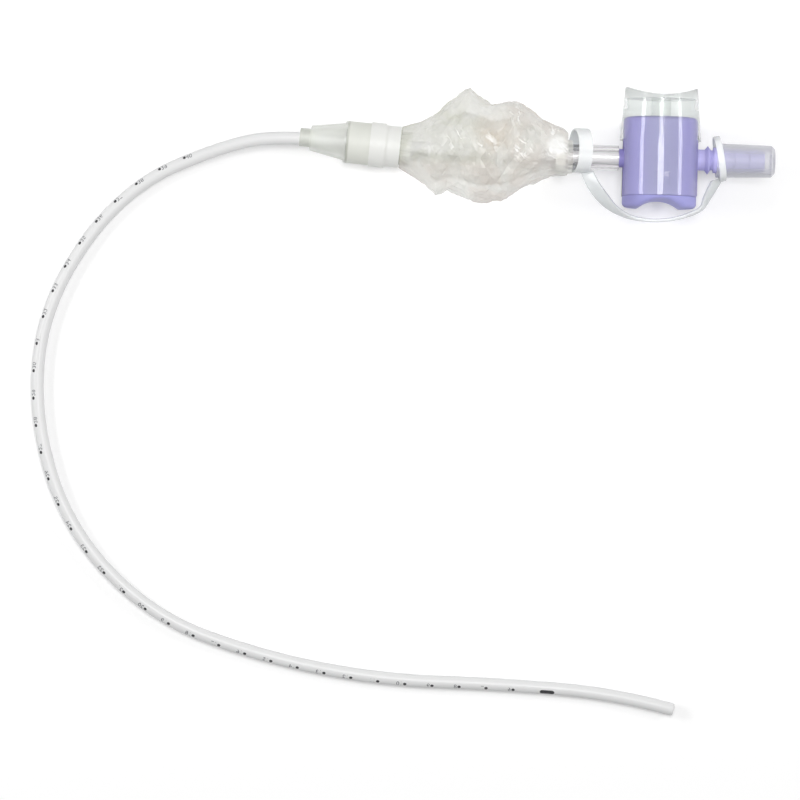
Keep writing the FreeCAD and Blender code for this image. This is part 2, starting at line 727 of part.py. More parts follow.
# Between these shares of the sleeve's length its film lies doubled back inside
DOUBLED_FROM = 0.16
DOUBLED_TO = 0.82
# Plain film over each neck, then the creases grow to their full depth
PLAIN_SHARE = 0.07
GROWING_SHARE = 0.12


def outline_at(share):
    """Reaches of the sleeve's outline at one share of its length."""
    for low, high in zip(SLEEVE_OUTLINE, SLEEVE_OUTLINE[1:]):
        if share <= high[0] + 1e-9:
            way = (share - low[0]) / (high[0] - low[0])
            return [a + (b - a) * way for a, b in zip(low[1:], high[1:])]
    raise ValueError(f"share {share} lies beyond the outline")


def crumple(turn, share, folds):
    """Height of the creases between 0 and 1, ridges and valleys alike sharp."""
    total = 0.0
    for around, along, weight in folds:
        phase = (around * turn + along * share) % 1.0
        total += weight * abs(2 * phase - 1)
    return total / sum(weight for around, along, weight in folds)


def sleeve_ring(centre, share, inset):
    """Points of one turn of film, creased less towards the sleeve's ends."""
    up, down, over, under = outline_at(share)
    from_end = min(share, SLEEVE_OUTLINE[-1][0] - share)
    growth = (from_end - PLAIN_SHARE) / GROWING_SHARE
    crease = float(size.crease_depth) * min(1.0, max(0.0, growth))
    lowest = float(size.table_gap) + inset
    points = []
    for index in range(RING_POINTS):
        turn = index / RING_POINTS
        swell = crease * (crumple(turn, share, FOLDS) - 0.5) - inset
        across = math.cos(2 * math.pi * turn)
        lift = math.sin(2 * math.pi * turn)
        reach_y = (up if across > 0 else down) + swell
        reach_z = (over if lift > 0 else under) + swell
        height = max(centre.z + reach_z * lift, lowest)
        points.append(FreeCAD.Vector(centre.x, centre.y + reach_y * across, height))
    return points


def doubled_ring(centre, share, inset):
    """Points of one turn of the film doubled back inside, each on the ray to an outer point."""
    points = []
    for index, outer_point in enumerate(sleeve_ring(centre, share, 0.0)):
        swing = float(size.doubled_swing) * (crumple(index / RING_POINTS, share, DOUBLED_FOLDS) - 0.5)
        ray = outer_point - centre
        points.append(centre + ray * (float(size.doubled_share) + swing - inset / ray.Length))
    return points


def round_ring(place, along, radius):
    """Points of a true circle about the axis of the valve's ports or of the fitting."""
    points = []
    for index in range(RING_POINTS):
        angle = 2 * math.pi * index / RING_POINTS
        local = FreeCAD.Vector(along, radius * math.cos(angle), radius * math.sin(angle))
        points.append(place.multVec(local))
    return points


def skin_between(rings):
    """Triangles between each ring and the next, the last one closing on the first."""
    faces = []
    for number, (first, second) in enumerate(zip(rings, rings[1:] + rings[:1])):
        for index in range(RING_POINTS):
            after = (index + 1) % RING_POINTS
            if (number + index) % 2:
                halves = ((first[index], first[after], second[index]),
                          (first[after], second[after], second[index]))
            else:
                halves = ((first[index], first[after], second[after]),
                          (first[index], second[after], second[index]))
            for corners in halves:
                faces.append(Part.Face(Part.makePolygon(list(corners) + [corners[0]])))
    return faces


def sleeve():
    """Bunched film as one creased wall that doubles back inside, with a neck under each clamp."""
    wall = float(size.film_wall)
    gather = float(size.film_gather)
    stem_hole = float(size.stem_radius + size.fit_gap)
    spigot_hole = float(size.spigot_radius + size.fit_gap)
    near_face = -float(size.sleeve_reach)
    near_neck = -float(clamp_end)
    far_face = float(size.table_gap)
    far_neck = -float(clamp_ring_width - size.fit_gap)
    start = valve_place.multVec(FreeCAD.Vector(near_face, 0, 0))
    end = fitting_place.multVec(FreeCAD.Vector(far_face, 0, 0))
    outer = [round_ring(valve_place, near_neck, stem_hole), round_ring(valve_place, near_face, stem_hole)]
    inner = [round_ring(valve_place, near_neck, stem_hole + gather),
             round_ring(valve_place, near_face - wall, stem_hole + gather)]
    doubled_outside = []
    doubled_inside = []
    for station in range(STATIONS):
        share = SLEEVE_OUTLINE[-1][0] * station / (STATIONS - 1)
        centre = start + (end - start) * share
        outer.append(sleeve_ring(centre, share, 0.0))
        if DOUBLED_FROM <= share <= DOUBLED_TO:
            if not doubled_outside:
                root = len(inner)
            doubled_outside.append(doubled_ring(centre, share, 0.0))
            doubled_inside.append(doubled_ring(centre, share, wall))
        if station == 0:
            centre.x -= wall
        inner.append(sleeve_ring(centre, share, wall))
    shoulder = float(size.ring_radius)
    outer.append(round_ring(fitting_place, far_face, shoulder))
    outer.append(round_ring(fitting_place, far_face, spigot_hole + gather))
    outer.append(round_ring(fitting_place, far_neck, spigot_hole + gather))
    inner.append(round_ring(fitting_place, far_face + wall, shoulder - wall))
    inner.append(round_ring(fitting_place, far_face + wall, spigot_hole))
    inner.append(round_ring(fitting_place, far_neck, spigot_hole))
    lining = inner[root:][::-1] + doubled_outside + doubled_inside[::-1] + inner[:root][::-1]
    solid = Part.Solid(Part.Shell(skin_between(outer + lining)))
    if solid.Volume < 0:
        solid.reverse()
    feature = document.addObject("Part::Feature", "sleeve_shape")
    feature.Shape = solid
    keep(feature, "sleeve", FreeCAD.Placement())


# Route of the catheter: from its seat in the valve through stem, sleeve and fitting,
# then down to the table and round to its tip
CATHETER_ROUTE = [
    (33.4, -1.35, 14.9),
    (5.3, -1.35, 14.9),
    (-22.5, 0.6, 10.8),
    (-48.0, 0.9, 8.2),
    (-90.8, 4.3, 8.2),
    (-112.3, 1.5, 6.9),
    (-151.8, -16.0, 2.35),
    (-179.4, -57.0, 2.35),
    (-183.7, -98.5, 2.35),
    (-170.0, -142.0, 2.35),
    (-138.0, -174.0, 2.35),
    (-97.0, -188.0, 2.35),
    (-53.0, -195.5, 2.35),
    (-9.5, -196.0, 2.35),
    (34.5, -198.5, 2.35),
    (56.0, -204.0, 2.35),
]
ARC_SHARE = 0.45


def route_wire(points):
    """Straight runs joined by tangent arcs, each as large as its two runs allow."""
    corners = [FreeCAD.Vector(*point) for point in points]
    edges = []
    radii = []
    reached = corners[0]
    for before, corner, after in zip(corners, corners[1:], corners[2:]):
        back = before - corner
        ahead = after - corner
        cut = ARC_SHARE * min(back.Length, ahead.Length)
        half_turn = (math.pi - back.getAngle(ahead)) / 2
        radius = cut / math.tan(half_turn)
        back.normalize()
        ahead.normalize()
        arc_start = corner + back * cut
        arc_end = corner + ahead * cut
        inward = (back + ahead).normalize()
        arc_middle = corner + inward * (radius / math.cos(half_turn) - radius)
        edges.append(Part.LineSegment(reached, arc_start).toShape())
        edges.append(Part.Arc(arc_start, arc_middle, arc_end).toShape())
        radii.append(radius)
        reached = arc_end
    edges.append(Part.LineSegment(reached, corners[-1]).toShape())
    return Part.Wire(edges), radii


def catheter():
    wire, radii = route_wire(CATHETER_ROUTE)
    print("catheter arc radii:", " ".join(f"{radius:.0f}" for radius in radii))
    start = wire.Edges[0].Vertexes[0].Point
    along = (wire.Edges[0].Vertexes[1].Point - start).normalize()
    tubes = []
    for radius in (float(size.catheter_radius), float(size.lumen_radius)):
        section = Part.Wire(Part.Circle(start, along, radius).toShape())
        tubes.append(wire.makePipeShell([section], True, False))
    tube = tubes[0].cut(tubes[1])
    area = math.pi * (float(size.catheter_radius) ** 2 - float(size.lumen_radius) ** 2)
    print(f"catheter length {wire.Length:.1f}, volume {tube.Volume:.1f} against {area * wire.Length:.1f}")
    feature = document.addObject("Part::Feature", "catheter_shape")
    feature.Shape = tube
    keep(feature, "catheter", FreeCAD.Placement())


valve_body()
thumb_cap()
plunger()
o_ring("upper_o_ring", size.upper_seal_height)
o_ring("lower_o_ring", -size.lower_seal_depth)
return_spring()
stem_tube()
proximal_clamp_ring()
connector_cap()
tether_strap()
distal_clamp_ring()
seal_collar()
wiper_seal()
cone_adapter()
nozzle_ring()
sleeve()
catheter()
document.recompute()

for item in document.Objects:
    if "Invalid" in item.State or "Error" in item.State:
        raise RuntimeError(f"{item.Label} failed: {item.State}")
for item in sub_parts:
    if item.Shape.isNull() or not item.Shape.isValid():
        raise RuntimeError(f"{item.Label} has no valid shape")
    if len(item.Shape.Solids) != 1:
        raise RuntimeError(f"{item.Label} holds {len(item.Shape.Solids)} solids")
for item in sub_parts:
    item.Shape.exportStep(f"parts/{item.Label}.step")
    print(f"{item.Label}: {item.Shape.Volume:.1f} mm3")
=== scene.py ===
import math
import random

import bmesh
import bpy
from mathutils import Matrix, Vector


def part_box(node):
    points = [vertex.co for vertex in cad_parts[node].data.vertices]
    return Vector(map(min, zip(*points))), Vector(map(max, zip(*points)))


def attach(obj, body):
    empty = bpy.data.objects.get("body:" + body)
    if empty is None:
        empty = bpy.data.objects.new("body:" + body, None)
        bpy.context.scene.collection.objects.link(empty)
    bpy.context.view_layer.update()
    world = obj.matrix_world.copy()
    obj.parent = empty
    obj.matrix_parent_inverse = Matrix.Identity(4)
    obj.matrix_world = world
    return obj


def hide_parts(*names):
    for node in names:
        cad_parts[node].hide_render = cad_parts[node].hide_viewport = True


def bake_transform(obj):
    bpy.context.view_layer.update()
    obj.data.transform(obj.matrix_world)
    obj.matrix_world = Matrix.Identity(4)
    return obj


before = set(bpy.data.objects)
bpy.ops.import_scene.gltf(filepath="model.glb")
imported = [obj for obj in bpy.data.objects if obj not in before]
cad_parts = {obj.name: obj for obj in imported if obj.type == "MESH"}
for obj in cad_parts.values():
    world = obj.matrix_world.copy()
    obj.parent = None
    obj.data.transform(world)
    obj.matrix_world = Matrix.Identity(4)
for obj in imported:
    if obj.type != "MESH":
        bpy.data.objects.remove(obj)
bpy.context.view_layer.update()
print("stage: frame loaded,", len(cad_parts), "nodes")

# where the valve and the patient end fitting sit in the part's frame, in metres
valveSpot = Vector((0.04519, -0.00135, 0.0149))
fittingSpot = Vector((-0.05016, 0.00106, 0.0082))
fittingTurn = Matrix.Rotation(math.radians(-4.6), 3, "Z")


# camera, floor and lamps

photo = {
    "above": 1.4,           # camera over the table
    "aimX": -0.04789,
    "aimY": -0.09192,
    "turn": 1.4,            # degrees, the set lies a little askew in the picture
    "across": 0.2963,       # width of table that the picture shows
}


def makeCamera():
    data = bpy.data.cameras.new("photoCamera")
    data.sensor_width = 36
    data.lens = 36 * photo["above"] / photo["across"]
    data.clip_start = 0.1
    data.clip_end = 10
    camera = bpy.data.objects.new("photoCamera", data)
    camera.location = (photo["aimX"], photo["aimY"], photo["above"])
    camera.rotation_euler = (0, 0, math.radians(photo["turn"]))
    bpy.context.scene.collection.objects.link(camera)
    bpy.context.scene.camera = camera


# sizes run along Y and across it for the side lamps, across and along Y for the one above
lamps = {
    "overhead": {"from": (0.015, 0.08, 1.0), "size": (0.27, 0.36), "watts": 4.2},
    "leftStrip": {"from": (-0.71, 0.08, 0.49), "size": (0.4, 0.17), "watts": 2.1},
    "rightStrip": {"from": (0.783, 0.08, 0.515), "size": (0.4, 0.17), "watts": 2.1},
}


def makeLamps():
    for name, plan in lamps.items():
        data = bpy.data.lights.new(name, "AREA")
        data.shape = "RECTANGLE"
        data.size, data.size_y = plan["size"]
        data.energy = plan["watts"]
        lamp = bpy.data.objects.new(name, data)
        lamp.location = plan["from"]
        aim = valveSpot - lamp.location
        lamp.rotation_mode = "QUATERNION"
        lamp.rotation_quaternion = aim.to_track_quat("-Z", "Y")
        bpy.context.scene.collection.objects.link(lamp)


class Signal:
    # a socket's value, so that shader maths reads as plain expressions
    def __init__(self, table, socket):
        self.table = table
        self.socket = socket

    def maths(self, operation, first, second):
        return self.table.node("ShaderNodeMath", {"operation": operation}, {0: first, 1: second})

    def __add__(self, other):
        return self.maths("ADD", self, other)

    def __radd__(self, other):
        return self.maths("ADD", other, self)

    def __sub__(self, other):
        return self.maths("SUBTRACT", self, other)

    def __rsub__(self, other):
        return self.maths("SUBTRACT", other, self)

    def __mul__(self, other):
        return self.maths("MULTIPLY", self, other)

    def __rmul__(self, other):
        return self.maths("MULTIPLY", other, self)

    def __pow__(self, other):
        return self.maths("POWER", self, other)


class NodeTable:
    # a node tree, and the one way to add nodes to it
    def __init__(self, tree):
        self.tree = tree
        tree.nodes.clear()

    def plug(self, socket, value):
        if isinstance(value, Signal):
            self.tree.links.new(value.socket, socket)
        else:
            socket.default_value = value

    def node(self, kind, settings=None, sockets=None, out=0):
        made = self.tree.nodes.new(kind)
        for name, value in (settings or {}).items():
            setattr(made, name, value)
        for name, value in (sockets or {}).items():
            self.plug(made.inputs[name], value)
        return Signal(self, made.outputs[out])

    def larger(self, first, second):
        return self.node("ShaderNodeMath", {"operation": "MAXIMUM"}, {0: first, 1: second})

    def mixed(self, share, first, second):
        return self.node("ShaderNodeMixShader", {}, {0: share, 1: first, 2: second})

    def looking(self):
        # 1 for rays by which the camera sees, straight, mirrored or through a clear piece
        seen = self.node("ShaderNodeLightPath", out="Is Camera Ray")
        for kind in ("Is Glossy Ray", "Is Transmission Ray"):
            seen = self.larger(seen, self.node("ShaderNodeLightPath", out=kind))
        return seen


class Finish(NodeTable):
    # one material: a Principled shader and whatever nodes feed it
    def __init__(self, name, **settings):
        self.material = bpy.data.materials.new(name)
        self.material.use_nodes = True
        super().__init__(self.material.node_tree)
        self.output = self.tree.nodes.new("ShaderNodeOutputMaterial")
        self.shader = self.tree.nodes.new("ShaderNodeBsdfPrincipled")
        self.surface = Signal(self, self.shader.outputs[0])
        self.plug(self.output.inputs["Surface"], self.surface)
        for socket, value in settings.items():
            self.shader.inputs[socket.replace("_", " ")].default_value = value

    def drive(self, **values):
        for name, value in values.items():
            self.plug(self.shader.inputs[name.replace("_", " ")], value)

    def place(self):
        return self.node("ShaderNodeTexCoord", out="Object")

    def noise(self, scale, detail, distortion=0.0):
        return self.node("ShaderNodeTexNoise", {}, {
            "Vector": self.place(), "Scale": scale, "Detail": detail,
            "Roughness": 0.5, "Distortion": distortion})

    def between(self, value, low, high, toLow=0.0, toHigh=1.0):
        return self.node("ShaderNodeMapRange", {"interpolation_type": "SMOOTHSTEP"}, {
            "Value": value, "From Min": low, "From Max": high, "To Min": toLow, "To Max": toHigh})

    def blendColours(self, share, first, second):
        return self.node("ShaderNodeMix", {"data_type": "RGBA"}, {0: share, 6: first, 7: second}, out=2)

    def facing(self):
        return self.node("ShaderNodeLayerWeight", {}, {"Blend": 0.5}, out="Facing")

    def axis(self, name):
        return self.node("ShaderNodeSeparateXYZ", {}, {0: self.place()}, out=name)

    def near(self, value, middle, reach, soft):
        # 1 within reach of the middle, falling to 0 over soft
        away = self.node("ShaderNodeMath", {"operation": "ABSOLUTE"}, {0: value - middle})
        return self.between(away, reach, reach + soft, 1.0, 0.0)

    def letLightThrough(self, share, surface=None):
        # lamps reach what a see-through piece holds, so that it stays as light as in the open
        clear = self.node("ShaderNodeBsdfTransparent", {}, {"Color": (share, share, share, 1)})
        path = self.node("ShaderNodeLightPath", out="Is Shadow Ray")
        self.plug(self.output.inputs["Surface"], self.mixed(path, surface or self.surface, clear))

    def bump(self, height, strength, distance):
        return self.node("ShaderNodeBump", {}, {
            "Height": height, "Strength": strength, "Distance": distance})


def tone(red, green, blue, alpha=1.0):
    # an eight bit screen colour as the linear one that shaders take
    def straight(value):
        value /= 255
        return value / 12.92 if value <= 0.04045 else ((value + 0.055) / 1.055) ** 2.4
    return (straight(red), straight(green), straight(blue), alpha)


stage = {
    "floorColour": (0.82, 0.82, 0.82, 1),
    "glow": 0.24,           # light that the floor adds where the camera sees it
    "reach": 3.0,
    "under": 0.0002,        # floor below the set's lowest point
    "skyLevel": 0.42,       # strength of the surroundings as a lamp
}


def makeFloor():
    half, level = stage["reach"] / 2, -stage["under"]
    mesh = bpy.data.meshes.new("tableTop")
    corners = [(-half, -half, level), (half, -half, level), (half, half, level), (-half, half, level)]
    mesh.from_pydata(corners, [], [(0, 1, 2, 3)])
    table = bpy.data.objects.new("tableTop", mesh)
    bpy.context.scene.collection.objects.link(table)
    look = Finish("tableWhite", Roughness=0.9, Specular_IOR_Level=0.1)
    look.drive(Base_Color=stage["floorColour"])
    glow = look.node("ShaderNodeEmission", {},
                     {"Color": (1, 1, 1, 1), "Strength": look.looking() * stage["glow"]})
    look.plug(look.output.inputs["Surface"], look.node("ShaderNodeAddShader", {}, {0: look.surface, 1: glow}))
    mesh.materials.append(look.material)


def makeSky():
    world = bpy.data.worlds.new("studioWhite")
    bpy.context.scene.world = world
    world.use_nodes = True
    table = NodeTable(world.node_tree)
    soft = table.node("ShaderNodeBackground", {}, {"Strength": stage["skyLevel"]})
    white = table.node("ShaderNodeBackground", {}, {"Strength": 1.0})
    out = table.tree.nodes.new("ShaderNodeOutputWorld")
    table.plug(out.inputs["Surface"], table.mixed(table.looking(), soft, white))


makeCamera()
makeLamps()
makeFloor()
makeSky()
bpy.context.scene.view_settings.view_transform = "Standard"
print("stage: camera, lamps and table")


# the catheter, which lies free on the table

# control points of its line, from its seat in the valve to its tip
catheterRoute = [
    (0.0334, -0.00135, 0.0149), (0.0048, -0.00135, 0.0149), (-0.0225, 0.0006, 0.0108),
    (-0.048, 0.0009, 0.0082), (-0.0908, 0.0043, 0.0082), (-0.1123, 0.0015, 0.0069),
    (-0.1518, -0.016, 0.00235), (-0.1794, -0.057, 0.00235), (-0.1837, -0.0985, 0.00235),
    (-0.17, -0.142, 0.00235), (-0.138, -0.174, 0.00235), (-0.097, -0.188, 0.00235),
    (-0.053, -0.1955, 0.00235), (-0.0095, -0.196, 0.00235), (0.0345, -0.1985, 0.00235),
    (0.056, -0.204, 0.00235),
]
catheterPlan = {
    "radius": 0.002335,
    "lumen": 0.0016,
    "around": 28,
    "length": 0.565,
    "exit": (0.03, -0.00135, 0.0149),
    "tipRound": 0.0007,
    "tipSteps": 6,
    "recess": 0.0002,          # inner edge of the open end behind the tip
}
markPlan = {
    "spacing": 0.01,
    "count": 35,
    "lastFromTip": 0.0602,     # the mark nearest the tip
    "side": 38.0,              # degrees from the top, towards the outside of the curve
    "dot": 0.00068,
    "textSize": 0.00243,
    "firstNumber": 6,          # at the mark nearest the tip
    "textGap": 0.0007,         # between a dot and its number
    "barFromTip": 0.0475,
    "barLength": 0.0054,
    "barWidth": 0.0017,
    "barSteps": 40,
    "barColumns": 4,           # on each side of its middle line
    "lift": 0.00003,
}


def routeCurve(name):
    data = bpy.data.curves.new(name, "CURVE")
    data.dimensions = "3D"
    data.resolution_u = 40
    spline = data.splines.new("NURBS")
    spline.points.add(len(catheterRoute) - 1)
    for point, spot in zip(spline.points, catheterRoute):
        point.co = (*spot, 1)
    spline.order_u = 3
    spline.use_endpoint_u = True
    curve = bpy.data.objects.new(name, data)
    bpy.context.scene.collection.objects.link(curve)
    return curve


def pointsOf(curve):
    bpy.context.view_layer.update()
    seen = curve.evaluated_get(bpy.context.evaluated_depsgraph_get())
    mesh = bpy.data.meshes.new_from_object(seen)
    points = [vertex.co.copy() for vertex in mesh.vertices]
    bpy.data.meshes.remove(mesh)
    return points


class Path:
    # a polyline with lengths along it, and a level frame at any place on it
    def __init__(self, points):
        self.points = points
        self.at = [0.0]
        for first, second in zip(points, points[1:]):
            self.at.append(self.at[-1] + (second - first).length)
        self.length = self.at[-1]

    def spot(self, way):
        way = min(max(way, 0.0), self.length)
        low, high = 0, len(self.at) - 1
        while high - low > 1:
            middle = (low + high) // 2
            if self.at[middle] <= way:
                low = middle
            else:
                high = middle
        share = (way - self.at[low]) / (self.at[high] - self.at[low])
        return self.points[low].lerp(self.points[high], share)

    def frame(self, way):
        step = 0.0008
        along = (self.spot(way + step) - self.spot(way - step)).normalized()
        right = along.cross(Vector((0, 0, 1))).normalized()
        up = right.cross(along).normalized()
        return along, right, up

    def onSkin(self, way, angle, radius):
        # angle is from the top towards the right of the way along
        along, right, up = self.frame(way)
        return self.spot(way) + (up * math.cos(angle) + right * math.sin(angle)) * radius


def newPiece(name, mesh, material, body="catheter_set"):
    piece = bpy.data.objects.new(name, mesh)
    bpy.context.scene.collection.objects.link(piece)
    mesh.materials.clear()
    mesh.materials.append(material)
    if body:
        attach(piece, body)
    return piece


def smoothed(mesh, smooth=True):
    for polygon in mesh.polygons:
        polygon.use_smooth = smooth
    return mesh


def meshOfRings(name, rings, closedEnds=False, wrap=True):
    # quads between rings of equal count, each ring closed on itself
    count = len(rings[0])
    spots = [spot for ring in rings for spot in ring]
    faces = []
    pairs = list(zip(range(len(rings)), range(1, len(rings))))
    if closedEnds:
        pairs.append((len(rings) - 1, 0))
    for first, second in pairs:
        for index in range(count if wrap else count - 1):
            after = (index + 1) % count
            faces.append((first * count + index, second * count + index,
                          second * count + after, first * count + after))
    mesh = bpy.data.meshes.new(name)
    mesh.from_pydata(spots, [], faces)
    mesh.update()
    return mesh


def facingOut(mesh):
    work = bmesh.new()
    work.from_mesh(mesh)
    bmesh.ops.recalc_face_normals(work, faces=work.faces)
    work.to_mesh(mesh)
    work.free()
    return mesh


def tubeRing(path, way, radius):
    count = catheterPlan["around"]
    return [path.onSkin(way, 2 * math.pi * index / count, radius) for index in range(count)]


def makeCatheter(path, material):
    radius, lumen, nose = catheterPlan["radius"], catheterPlan["lumen"], catheterPlan["tipRound"]
    ways = list(path.at[:-1])
    while ways[-1] > path.length - nose * 1.5:
        ways.pop()
    rings = [tubeRing(path, way, radius) for way in ways]
    for step in range(catheterPlan["tipSteps"] + 1):
        angle = math.pi / 2 * step / catheterPlan["tipSteps"]
        rings.append(tubeRing(path, path.length - nose + nose * math.sin(angle),
                              radius - nose * (1 - math.cos(angle))))
    rings.append(tubeRing(path, path.length - catheterPlan["recess"], lumen))
    rings += [tubeRing(path, way, lumen) for way in reversed(ways)]
    mesh = facingOut(smoothed(meshOfRings("catheterTube", rings, closedEnds=True)))
    tube = newPiece("catheterTube", mesh, material)
    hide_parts("catheter")
    spots = [path.spot(way) for way in path.at]


def dotTree(material):
    # one dot per centimetre, set on the tube's skin and lying along it
    tree = bpy.data.node_groups.new("depthDots", "GeometryNodeTree")
    tree.interface.new_socket("Route", in_out="INPUT", socket_type="NodeSocketGeometry")
    names = {"From": 0.1, "To": 0.5, "Spacing": 0.01, "Tube radius": 0.002, "Side": 0.6, "Dot radius": 0.0008}
    for name, value in names.items():
        tree.interface.new_socket(name, in_out="INPUT", socket_type="NodeSocketFloat").default_value = value
    tree.interface.new_socket("Dots", in_out="OUTPUT", socket_type="NodeSocketGeometry")

    def add(kind, settings=None, sockets=None):
        node = tree.nodes.new(kind)
        for key, value in (settings or {}).items():
            setattr(node, key, value)
        for key, value in (sockets or {}).items():
            if isinstance(value, bpy.types.NodeSocket):
                tree.links.new(value, node.inputs[key])
            else:
                node.inputs[key].default_value = value
        return node

    start = add("NodeGroupInput")
    line = add("GeometryNodeMeshToCurve", {}, {"Mesh": start.outputs["Route"]})
    stretch = add("GeometryNodeTrimCurve", {"mode": "LENGTH"}, {"Curve": line.outputs[0]})
    trimStart = [socket for socket in stretch.inputs if socket.name == "Start" and socket.enabled][-1]
    trimEnd = [socket for socket in stretch.inputs if socket.name == "End" and socket.enabled][-1]
    tree.links.new(start.outputs["From"], trimStart)
    tree.links.new(start.outputs["To"], trimEnd)
    marks = add("GeometryNodeCurveToPoints", {"mode": "LENGTH"},
                {"Curve": stretch.outputs[0], "Length": start.outputs["Spacing"]})
    tangent = marks.outputs["Tangent"]
    outer = add("ShaderNodeVectorMath", {"operation": "CROSS_PRODUCT"}, {0: tangent, 1: (0, 0, 1)})
    outer = add("ShaderNodeVectorMath", {"operation": "NORMALIZE"}, {0: outer.outputs[0]})
    sine = add("ShaderNodeMath", {"operation": "SINE"}, {0: start.outputs["Side"]})
    cosine = add("ShaderNodeMath", {"operation": "COSINE"}, {0: start.outputs["Side"]})
    across = add("ShaderNodeVectorMath", {"operation": "SCALE"},
                 {0: outer.outputs[0], "Scale": sine.outputs[0]})
    upward = add("ShaderNodeVectorMath", {"operation": "SCALE"}, {0: (0, 0, 1), "Scale": cosine.outputs[0]})
    outward = add("ShaderNodeVectorMath", {"operation": "ADD"}, {0: across.outputs[0], 1: upward.outputs[0]})
    offset = add("ShaderNodeVectorMath", {"operation": "SCALE"},
                 {0: outward.outputs[0], "Scale": start.outputs["Tube radius"]})
    onSkin = add("GeometryNodeSetPosition", {}, {"Geometry": marks.outputs[0], "Offset": offset.outputs[0]})
    lean = add("FunctionNodeAlignRotationToVector", {"axis": "Z"}, {"Vector": outward.outputs[0]})
    lie = add("FunctionNodeAlignRotationToVector", {"axis": "X", "pivot_axis": "Z"},
              {"Rotation": lean.outputs[0], "Vector": tangent})
    ball = add("GeometryNodeMeshUVSphere", {},
               {"Segments": 14, "Rings": 7, "Radius": start.outputs["Dot radius"]})
    flat = add("GeometryNodeTransform", {}, {"Geometry": ball.outputs[0], "Scale": (1.0, 0.9, 0.16)})
    dots = add("GeometryNodeInstanceOnPoints", {}, {
        "Points": onSkin.outputs[0], "Instance": flat.outputs[0], "Rotation": lie.outputs[0]})
    real = add("GeometryNodeRealizeInstances", {}, {0: dots.outputs[0]})
    inked = add("GeometryNodeSetMaterial", {}, {"Geometry": real.outputs[0], "Material": material})
    end = add("NodeGroupOutput")
    tree.links.new(inked.outputs[0], end.inputs[0])
    return tree


def makeDots(path, material):
    line = bpy.data.meshes.new("dotLine")
    line.from_pydata(path.points, [(i, i + 1) for i in range(len(path.points) - 1)], [])
    holder = bpy.data.objects.new("dotLine", line)
    bpy.context.scene.collection.objects.link(holder)
    tree = dotTree(material)
    modifier = holder.modifiers.new("dots", "NODES")
    modifier.node_group = tree
    last = path.length - markPlan["lastFromTip"]
    first = last - markPlan["spacing"] * (markPlan["count"] - 1)
    wanted = {
        "From": first, "To": last + 0.0001, "Spacing": markPlan["spacing"],
        "Tube radius": catheterPlan["radius"] - 0.00005,
        "Side": math.radians(markPlan["side"]), "Dot radius": markPlan["dot"],
    }
    for item in tree.interface.items_tree:
        if item.in_out == "INPUT" and item.name in wanted:
            modifier[item.identifier] = wanted[item.name]
    holder.update_tag()
    bpy.context.view_layer.update()
    seen = holder.evaluated_get(bpy.context.evaluated_depsgraph_get())
    mesh = bpy.data.meshes.new_from_object(seen)
    bpy.data.objects.remove(holder)
    mesh.name = "depthDots"
    newPiece("depthDots", smoothed(mesh), material)


def offTheSkin(mesh, path, way):
    # turns a printed patch over where it would face into the tube
    face = mesh.polygons[0]
    if face.normal.dot(face.center - path.spot(way)) < 0:
        mesh.flip_normals()
    return mesh


def makeNumbers(path, material):
    # each number lies along the tube on the valve side of its dot
    last = path.length - markPlan["lastFromTip"]
    radius = catheterPlan["radius"] + markPlan["lift"]
    side = math.radians(markPlan["side"])
    spots, faces = [], []
    for step in range(markPlan["count"]):
        way = last - step * markPlan["spacing"]
        text = bpy.data.curves.new("number", "FONT")
        text.body = str(step + markPlan["firstNumber"])
        text.size = markPlan["textSize"]
        text.align_x = "LEFT"
        text.align_y = "CENTER"
        text.resolution_u = 3
        holder = bpy.data.objects.new("number", text)
        bpy.context.scene.collection.objects.link(holder)
        bpy.context.view_layer.update()
        flat = bpy.data.meshes.new_from_object(holder.evaluated_get(bpy.context.evaluated_depsgraph_get()))
        base = len(spots)
        for vertex in flat.vertices:
            spots.append(path.onSkin(way - markPlan["textGap"] - vertex.co.x,
                                     side - vertex.co.y / radius, radius))
        faces += [tuple(base + index for index in polygon.vertices) for polygon in flat.polygons]
        bpy.data.meshes.remove(flat)
        bpy.data.objects.remove(holder)
    mesh = bpy.data.meshes.new("depthNumbers")
    mesh.from_pydata(spots, [], faces)
    mesh.update()
    newPiece("depthNumbers", offTheSkin(mesh, path, last), material)


def makeBar(path, material):
    # a printed bar with round ends, along the tube's outer side
    middle, side = path.length - markPlan["barFromTip"], math.radians(markPlan["side"])
    half, wide = markPlan["barLength"] / 2, markPlan["barWidth"] / 2
    skin = catheterPlan["radius"] + markPlan["lift"]
    steps, columns = markPlan["barSteps"], markPlan["barColumns"]
    rings = []
    for step in range(steps + 1):
        reach = -half * math.cos(math.pi * step / steps)
        past = max(0.0, abs(reach) - (half - wide)) / wide
        spread = wide * max(0.15, math.sqrt(max(0.0, 1 - past * past)))
        rings.append([path.onSkin(middle + reach, side + spread * place / columns / skin, skin)
                      for place in range(-columns, columns + 1)])
    mesh = offTheSkin(meshOfRings("depthBar", rings, wrap=False), path, middle)
    newPiece("depthBar", smoothed(mesh), material)


def catheterFinish():
    look = Finish("catheterVinyl", Roughness=0.32, IOR=1.5, Specular_IOR_Level=0.4)
    cloud = look.noise(60, detail=3)
    edge = look.facing()
    # painted shade: the tube is painted deeper towards its outline, where it turns away from the camera
    pale, paintedOutlineShade = tone(231, 231, 231), tone(212, 213, 214)
    body = look.blendColours(edge ** 2.2, pale, paintedOutlineShade)
    look.drive(Base_Color=look.blendColours(cloud * 0.25, body, tone(224, 225, 225)))
    look.drive(Roughness=0.26 + cloud * 0.12)
    look.drive(Normal=look.bump(look.noise(900, detail=2), 0.08, 0.0001))
    return look.material


def inkFinish(name, dark, worn):
    look = Finish(name, Roughness=0.55)
    wear = look.noise(2600, detail=3)
    look.drive(Base_Color=look.blendColours(look.between(wear, 0.35, 0.75), dark, worn))
    look.drive(Normal=look.bump(wear, 0.2, 0.00005))
    return look.material


